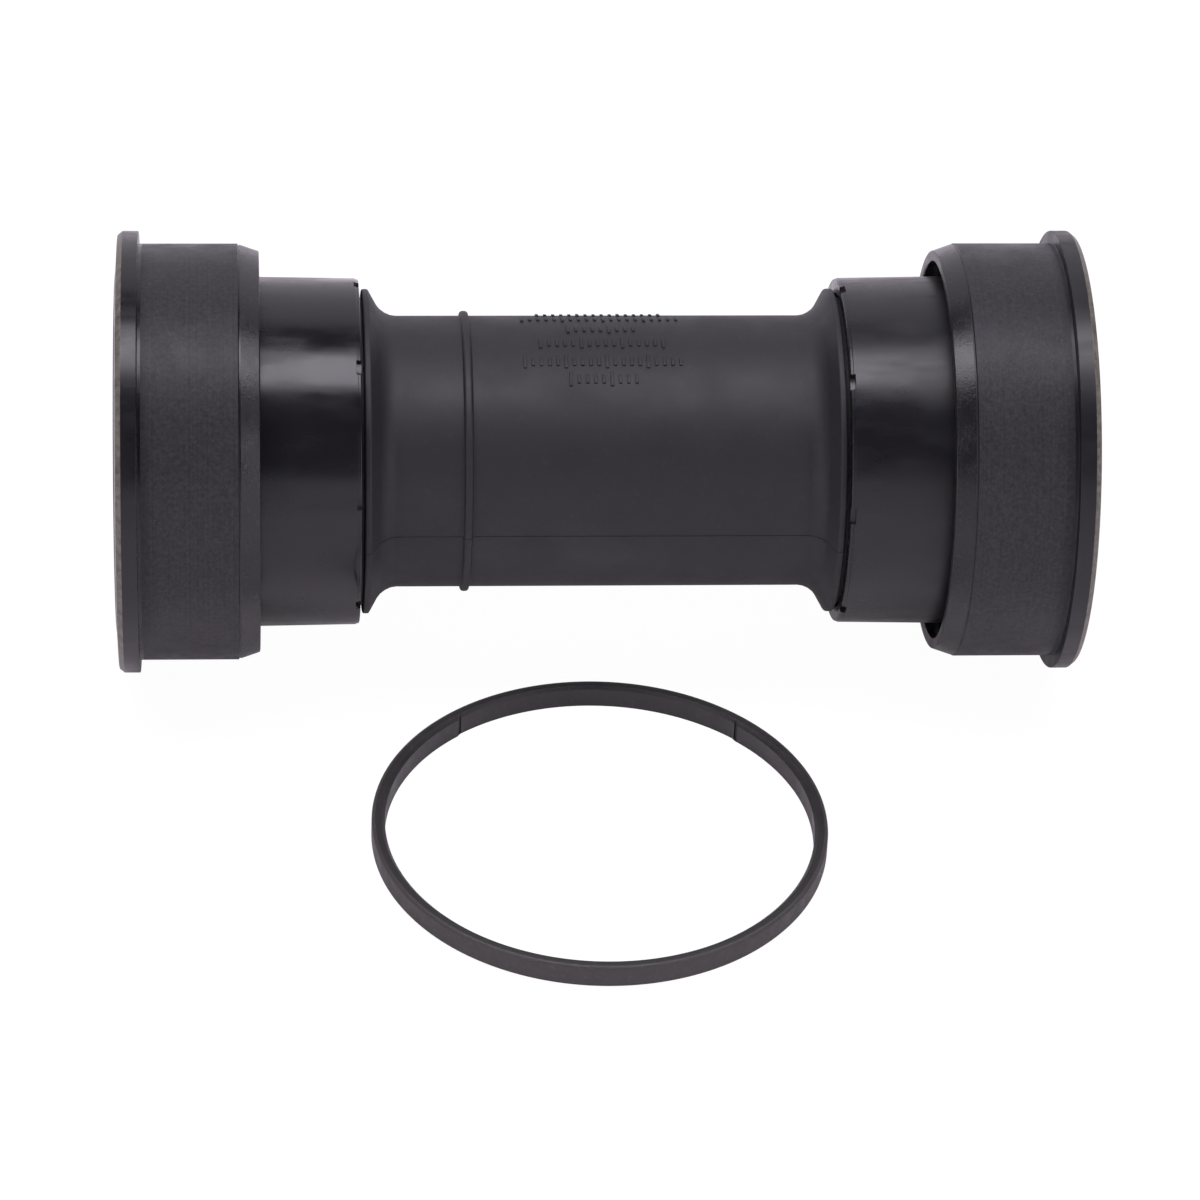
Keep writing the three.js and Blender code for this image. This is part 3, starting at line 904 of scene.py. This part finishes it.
class BRACKET_OT_cages(bpy.types.Operator):
    """The crown cage of each bearing: a ring on the inboard side with pockets that snap over the balls"""

    bl_idname = "bracket.cages"
    bl_label = "Cages"

    def execute(self, context):
        settings = context.scene.press_fit_bracket
        b = settings.bearing
        outer = CAGE_HIGH.z - AXIS.z
        ball_low, ball_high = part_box("left_ball_01")
        first = (ball_low + ball_high) / 2
        ball_circle = radius_of(first)
        inner = 2 * ball_circle - outer
        corner = 0.15 * MM
        start = CAGE_LOW.x - first.x
        end = CAGE_HIGH.x - first.x
        corners = [(start, inner, corner), (start, outer, corner)]
        corners += [(end, outer, corner), (end, inner, corner)]
        cage = turned("left_ball_cage", corners, axis_point(first.x), steps=16 * BALLS_PER_SIDE)
        master = ball("pocket", b.pocket_radius, cuts=6)
        pocket = copy_of(master, "pocket_placed", Matrix.Translation(first))
        bpy.data.objects.remove(master)
        combine(cage, ring_of(pocket, BALLS_PER_SIDE), "DIFFERENCE")
        cage.data.materials.append(cage_polyamide(settings.colours))
        facing = other_side(cage, "right_ball_cage")
        hand_over_pair(cage, facing, "balls", "bearing_cage")
        return {"FINISHED"}


def seal_corners(low, high, shoulder):
    """A bearing seal's outline: a thick rim outside, a dished web and a thin lip inside."""
    outer = high.z - AXIS.z
    thick = high.x - low.x
    inner = outer - 2 * shoulder
    dish = 0.4 * thick
    bevel = 0.15 * thick
    drop = 0.25 * MM  # of the rim's corners
    rim = 0.6 * MM
    lip = 0.3 * MM
    tip = 0.2 * MM
    soft = 0.1 * MM
    return [
        (0, outer - drop, soft),
        (bevel, outer, soft),
        (thick - bevel, outer, soft),
        (thick, outer - drop, soft),
        (thick, outer - rim + soft / 2, soft),
        (thick - dish / 10, inner + lip + tip, soft),
        (thick, inner + tip, soft),
        (thick - dish, inner, soft),
        (dish, inner + lip, soft),
        (dish, outer - rim, soft),
    ]


class BRACKET_OT_seals(bpy.types.Operator):
    """The rubber seals on both faces of each bearing, and the rubber rings on the sleeve's spigots"""

    bl_idname = "bracket.seals"
    bl_label = "Seals"

    def execute(self, context):
        settings = context.scene.press_fit_bracket
        rubber = nitrile(settings.colours)
        clearance = 0.12 * MM
        shoulder = settings.bearing.shoulder - clearance
        for name, low, high in (
            ("outboard", SEAL_OUT_LOW, SEAL_OUT_HIGH),
            ("inboard", SEAL_IN_LOW, SEAL_IN_HIGH),
        ):
            corners = seal_corners(low, high, shoulder)
            # The dished side faces the outside of the bearing.
            if name == "inboard":
                along = -X_AXIS
                face = high.x
            else:
                along = X_AXIS
                face = low.x
            seal = turned(f"left_{name}_lip_seal", corners, axis_point(face), along)
            seal.data.materials.append(rubber)
            facing = other_side(seal, f"right_{name}_lip_seal")
            hand_over_pair(seal, facing, "cup", f"bearing_{name}_seal")
        section = (O_RING_HIGH.x - O_RING_LOW.x) / 2
        ring_radius = O_RING_HIGH.z - AXIS.z - section
        around = 24
        corners = arc(0, ring_radius, section, 0, 360 / around - 360, around - 1)
        ring = turned("right_rubber_ring", corners, axis_point((O_RING_HIGH.x + O_RING_LOW.x) / 2))
        ring.data.materials.append(greased_nitrile(settings.colours))
        for side, piece in zip(SIDES, (other_side(ring, "left_rubber_ring"), ring)):
            hand_over(piece, "sleeve", [f"{side}_o_ring"])
        return {"FINISHED"}


# ---- dust covers ----
def cover_corners(c):
    """The dust cover's outline, counted from its outer face inwards."""
    disc = COVER_HIGH.z - AXIS.z
    end = COVER_HIGH.x - COVER_LOW.x
    gap = 0.1 * MM  # to the bearing's inner ring
    boss = RING_LOW.x - COVER_LOW.x - gap
    bevel = 0.3 * MM
    soft = 0.12 * MM
    groove = c.ring_depth
    width = 0.6 * MM
    corners = [(end, c.bore, soft), (bevel, c.bore, 0), (0, c.bore + bevel, soft)]
    for inner in (disc - 3.2 * MM, disc - 1.5 * MM):
        outer = inner + width
        corners += [(0, inner, soft), (groove, inner + soft, soft), (groove, outer - soft, soft)]
        corners += [(0, outer, soft)]
    corners += [(0, disc - bevel, soft), (bevel, disc, soft), (c.thickness, disc, soft)]
    corners += [(c.thickness, c.boss_radius, soft), (boss, c.boss_radius, soft)]
    corners += [(boss, c.bush_radius, soft / 2), (end, c.bush_radius, soft)]
    return corners


class BRACKET_OT_dust_covers(bpy.types.Operator):
    """The ringed disc over each bearing, with the thin bush that takes the spindle"""

    bl_idname = "bracket.dust_covers"
    bl_label = "Dust covers"

    def execute(self, context):
        settings = context.scene.press_fit_bracket
        cover = turned("left_ringed_cover", cover_corners(settings.cover), axis_point(COVER_LOW.x))
        cover.data.materials.append(cover_acetal(settings.colours))
        facing = other_side(cover, "right_ringed_cover")
        hand_over_pair(cover, facing, "inner", "dust_cover")
        return {"FINISHED"}


# ---- sleeve ----
def sleeve_end(s):
    """Corners of one end of the sleeve, from the tube's outside round to its inside."""
    tip = SLEEVE_HIGH.x
    crest = s.half_lip - s.lip_width
    foot = crest - (s.lip_radius - s.radius) / math.tan(s.cone_angle)
    groove = s.half_lip + s.groove_start
    soft = 0.1 * MM
    return [
        (foot, s.radius, s.foot),
        (crest, s.lip_radius, 2 * soft),
        (s.half_lip, s.lip_radius, 2 * soft),
        (s.half_lip, s.spigot_radius, soft),
        (groove, s.spigot_radius, soft),
        (groove, s.groove_radius, soft),
        (groove + s.groove_width, s.groove_radius, soft),
        (groove + s.groove_width, s.spigot_radius, soft),
        (tip - 4 * soft, s.spigot_radius, 2 * soft),
        (tip, s.spigot_radius - 4 * soft, 2 * soft),
        (tip, s.spigot_bore, soft),
        (s.half_lip, s.spigot_bore, 5 * soft),
        (foot, s.bore, 5 * soft),
    ]


def sleeve_corners(s):
    """The sleeve's outline, counted from its middle."""
    right = sleeve_end(s)
    left = [(-a, r, rounding) for a, r, rounding in reversed(right)]
    root = 1.1 * s.bead_half_width
    crown = 0.9 * s.bead_half_width
    crown_round = 0.8 * s.bead_half_width
    soft = 0.1 * MM
    bead = [
        (-s.bead_from_middle - root, s.radius, soft),
        (-s.bead_from_middle - crown, s.radius + s.bead_height, crown_round),
        (-s.bead_from_middle + crown, s.radius + s.bead_height, crown_round),
        (-s.bead_from_middle + root, s.radius, soft),
    ]
    return left + bead + right


def raised_marks(s):
    """Plain raised ticks in rows along the top, in place of lettering."""
    # Each row has its angle up from the front, in degrees, and its number of ticks.
    rows = ((66.5, 9), (75.4, 20), (86.8, 16), (97.7, 9), (109.5, 20), (119.0, 16))
    pitch = 0.8 * MM
    every = 5  # a long tick after four short ones
    long_half = 0.8 * MM
    short_half = 0.5 * MM
    edge = 0.05 * MM
    bury = 0.2 * MM
    top = AXIS.z + s.radius
    made = []
    for elevation, count in rows:
        ticks = []
        for i in range(count):
            half_height = short_half if i % every else long_half
            x = (i - (count - 1) / 2) * pitch
            low = (x - s.mark_width / 2, AXIS.y - half_height, top - bury)
            high = (x + s.mark_width / 2, AXIS.y + half_height, top + s.mark_height)
            ticks.append(block(f"tick_{len(made)}_{i}", low, high, edge))
        row = joined(ticks)
        lean = math.radians(90 - elevation)
        made.append(copy_of(row, f"row_{len(made)}", about(AXIS, X_AXIS, lean)))
        bpy.data.objects.remove(row)
    return joined(made)


def add_flash(obj, s):
    """Raises the thin line that the mould's parting plane leaves along both sides."""
    tilt = math.radians(-3.5)  # the sleeve lies a little rolled
    normal = Vector((0, math.sin(tilt), math.cos(tilt)))
    edit(obj)
    for side in (-0.5, 0.5):
        bpy.ops.mesh.select_all(action="SELECT")
        bpy.ops.mesh.bisect(plane_co=AXIS + normal * side * s.flash_width, plane_no=normal)
    close()
    edit(obj, "FACE")

    def on_line(face):
        place = face.calc_center_median()
        near = abs((place - AXIS).dot(normal)) < 0.4 * s.flash_width
        outward = (place - axis_point(place.x)).dot(face.normal) > 0.2 * radius_of(place)
        margin = 0.1 * MM
        exposed = abs(place.x) < s.half_lip - margin
        return near and outward and exposed and radius_of(place) > s.radius - margin / 2

    pick(obj, "faces", on_line)
    bpy.ops.mesh.extrude_region_shrink_fatten(TRANSFORM_OT_shrink_fatten={"value": s.flash_height})
    close()


class BRACKET_OT_sleeve(bpy.types.Operator):
    """The inner sleeve, with its bells, spigots, bead, mould line and plain raised marks"""

    bl_idname = "bracket.sleeve"
    bl_label = "Sleeve"

    def execute(self, context):
        settings = context.scene.press_fit_bracket
        s = settings.sleeve
        sleeve = turned("belled_sleeve", sleeve_corners(s), steps=FINE_STEPS)
        add_flash(sleeve, s)
        combine(sleeve, raised_marks(s), "UNION")
        sleeve.data.materials.append(sleeve_polyamide(settings.colours))
        hand_over(sleeve, "sleeve", ["inner_sleeve"])
        return {"FINISHED"}


# ---- spacer ----
class BRACKET_OT_spacer(bpy.types.Operator):
    """The loose spacer ring, with a chamfered bore that is relieved at the back between two grooves"""

    bl_idname = "bracket.spacer"
    bl_label = "Spacer"

    def execute(self, context):
        settings = context.scene.press_fit_bracket
        s = settings.spacer
        outer = (SPACER_HIGH.y - SPACER_LOW.y) / 2
        half = (SPACER_HIGH.z - SPACER_LOW.z) / 2
        middle = math.radians(90) - s.relief_turn
        corners = [
            (-half, s.bore, s.bore_edge),
            (-half, outer, s.edge),
            (half, outer, s.edge),
            (half, s.bore + s.mouth, s.bore_edge),
            (half - s.mouth, s.bore, s.bore_edge),
        ]
        ring = turned("relieved_spacer", corners, SPACER_CENTRE, Z_AXIS, X_AXIS, FINE_STEPS)

        def on_relief(vertex):
            out = vertex.co - SPACER_CENTRE
            inside = abs(math.atan2(out.y, out.x) - middle) < s.relief_angle / 2
            return inside and out.xy.length < s.bore + s.mouth / 2

        edit(ring)
        pick(ring, "verts", on_relief)
        wider = 1 + s.relief / s.bore
        bpy.ops.transform.resize(value=(wider, wider, 1), center_override=SPACER_CENTRE)
        close()
        clear = 1 * MM
        low = Vector((s.bore - clear, -s.groove_width / 2, 2 * s.bore_edge - half))
        high = Vector((s.bore + s.groove_depth, s.groove_width / 2, half + clear))
        edge = 0.05 * MM
        groove = block("groove", SPACER_CENTRE + low, SPACER_CENTRE + high, edge)
        grooves = [
            copy_of(groove, f"groove_{share}", about(SPACER_CENTRE, Z_AXIS, middle + share * s.relief_angle))
            for share in (-0.5, 0.5)
        ]
        bpy.data.objects.remove(groove)
        combine(ring, joined(grooves), "DIFFERENCE")
        ring.data.materials.append(spacer_polyamide(settings.colours))

        def on_outside(face):
            out = face.calc_center_median() - SPACER_CENTRE
            return out.xy.length > outer - s.edge

        assign(ring, scuffed_polyamide(settings.colours), on_outside)
        hand_over(ring, "spacer", ["shell_spacer"])
        return {"FINISHED"}


# ---- stage ----
def soft_light(name, place, turn, size, brightness):
    """An even rectangular light that the camera doesn't see."""
    only(None)
    bpy.ops.object.light_add(type="AREA", location=place, rotation=turn)
    obj = bpy.context.object
    obj.name = name
    light = obj.data
    light.shape = "RECTANGLE"
    light.size, light.size_y = size
    light.energy = brightness * math.pi * size[0] * size[1]
    light.color = linear("FAF6FF")[:3]
    obj.visible_camera = False


def pale_room(scene):
    """A room that is pale to look at and throws little light, so that black plastic stays black."""
    world = bpy.data.worlds.new("pale room")
    world.use_nodes = True
    scene.world = world
    tree = world.node_tree
    background = tree.nodes["Background"]
    seen = add_node(tree, "LightPath").outputs["Is Camera Ray"]
    thrown = 0.03
    looks = 1.05
    shown = add_node(tree, "MapRange", {0: seen, 1: 0.0, 2: 1.0, 3: thrown, 4: looks})
    background.inputs["Color"].default_value = linear("FFFFFF")
    tree.links.new(shown.outputs[0], background.inputs["Strength"])


class BRACKET_OT_stage(bpy.types.Operator):
    """A white bench under a long softbox, cards and strips of light round it, and the camera"""

    bl_idname = "bracket.stage"
    bl_label = "Stage"

    def execute(self, context):
        scene = context.scene
        stage = scene.press_fit_bracket.stage
        only(None)
        under = 0.02 * MM  # keeps the bench clear of the pieces that stand on it
        bpy.ops.mesh.primitive_plane_add(size=6, location=(0, 0, -under))
        bench = bpy.context.object
        bench.name = "bench"
        bpy.ops.object.transform_apply(location=True, rotation=False, scale=False)
        bench.data.materials.append(white_sweep(stage.burn))
        # Each light has its place, its lean and turn in degrees, its size and its brightness.
        lights = (
            ("overhead softbox", (0, AXIS.y, 1.0), 0, 0, (1.6, 0.42), stage.softbox),
            ("backdrop", (0, 1.6, 1.1), -90, 0, (3.0, 2.2), stage.backdrop),
            ("low front card", (0, -1.6, 0.27), 90, 0, (3.0, 0.54), stage.front_card),
            ("left strip", (-0.92, -0.77, 0.45), 90, -50, (0.24, 0.9), stage.strips),
            ("right strip", (0.92, -0.77, 0.45), 90, 50, (0.24, 0.9), stage.strips),
        )
        for name, place, lean, turn, size, brightness in lights:
            angles = (math.radians(lean), 0, math.radians(turn))
            soft_light(name, place, angles, size, brightness)
        pale_room(scene)
        # The camera looks down and a little to the right, from left of the middle, and leans over slightly.
        pan, drop, roll = -4.73, 36.70, 2.57
        bpy.ops.object.camera_add(location=(-0.0364, -0.434925, 0.3414))
        camera = bpy.context.object
        turn = Matrix.Rotation(math.radians(pan), 4, "Z")
        turn @= Matrix.Rotation(math.radians(90 - drop), 4, "X")
        turn @= Matrix.Rotation(math.radians(roll), 4, "Z")
        camera.matrix_world = Matrix.Translation(camera.location) @ turn
        camera.data.lens = stage.lens
        camera.data.sensor_width = 36
        camera.data.clip_start = 0.01
        camera.data.clip_end = 20
        scene.camera = camera
        scene.view_settings.view_transform = "Standard"
        return {"FINISHED"}


# ---- add-on ----
class BRACKET_PT_panel(bpy.types.Panel):
    """Builds the bottom bracket piece by piece"""

    bl_idname = "BRACKET_PT_panel"
    bl_label = "Bottom Bracket"
    bl_space_type = "VIEW_3D"
    bl_region_type = "UI"
    bl_category = "Bottom Bracket"

    def draw(self, context):
        settings = context.scene.press_fit_bracket
        for group, operators in PANEL_ROWS:
            box = self.layout.box()
            values = getattr(settings, group)
            for key in values.__annotations__:
                box.prop(values, key)
            for operator in operators:
                box.operator(operator.bl_idname)


PANEL_ROWS = (
    ("cup", (BRACKET_OT_cups,)),
    ("bearing", (BRACKET_OT_bearing_rings, BRACKET_OT_balls, BRACKET_OT_cages, BRACKET_OT_seals)),
    ("cover", (BRACKET_OT_dust_covers,)),
    ("sleeve", (BRACKET_OT_sleeve,)),
    ("spacer", (BRACKET_OT_spacer,)),
    ("colours", ()),
    ("stage", (BRACKET_OT_stage,)),
)
GROUPS = (
    CupSizes,
    SleeveSizes,
    BearingSizes,
    CoverSizes,
    SpacerSizes,
    FinishColours,
    StageSettings,
    BracketSettings,
)
OPERATORS = tuple(operator for _, operators in PANEL_ROWS for operator in operators)


def register():
    for cls in GROUPS + OPERATORS + (BRACKET_PT_panel,):
        bpy.utils.register_class(cls)
    bpy.types.Scene.press_fit_bracket = bpy.props.PointerProperty(type=BracketSettings)


def unregister():
    del bpy.types.Scene.press_fit_bracket
    for cls in reversed(GROUPS + OPERATORS + (BRACKET_PT_panel,)):
        bpy.utils.unregister_class(cls)


def main():
    register()
    bpy.ops.bracket.cups()
    bpy.ops.bracket.bearing_rings()
    bpy.ops.bracket.balls()
    bpy.ops.bracket.cages()
    bpy.ops.bracket.seals()
    bpy.ops.bracket.dust_covers()
    bpy.ops.bracket.sleeve()
    bpy.ops.bracket.spacer()
    bpy.ops.bracket.stage()


if __name__ == "__main__":
    main()
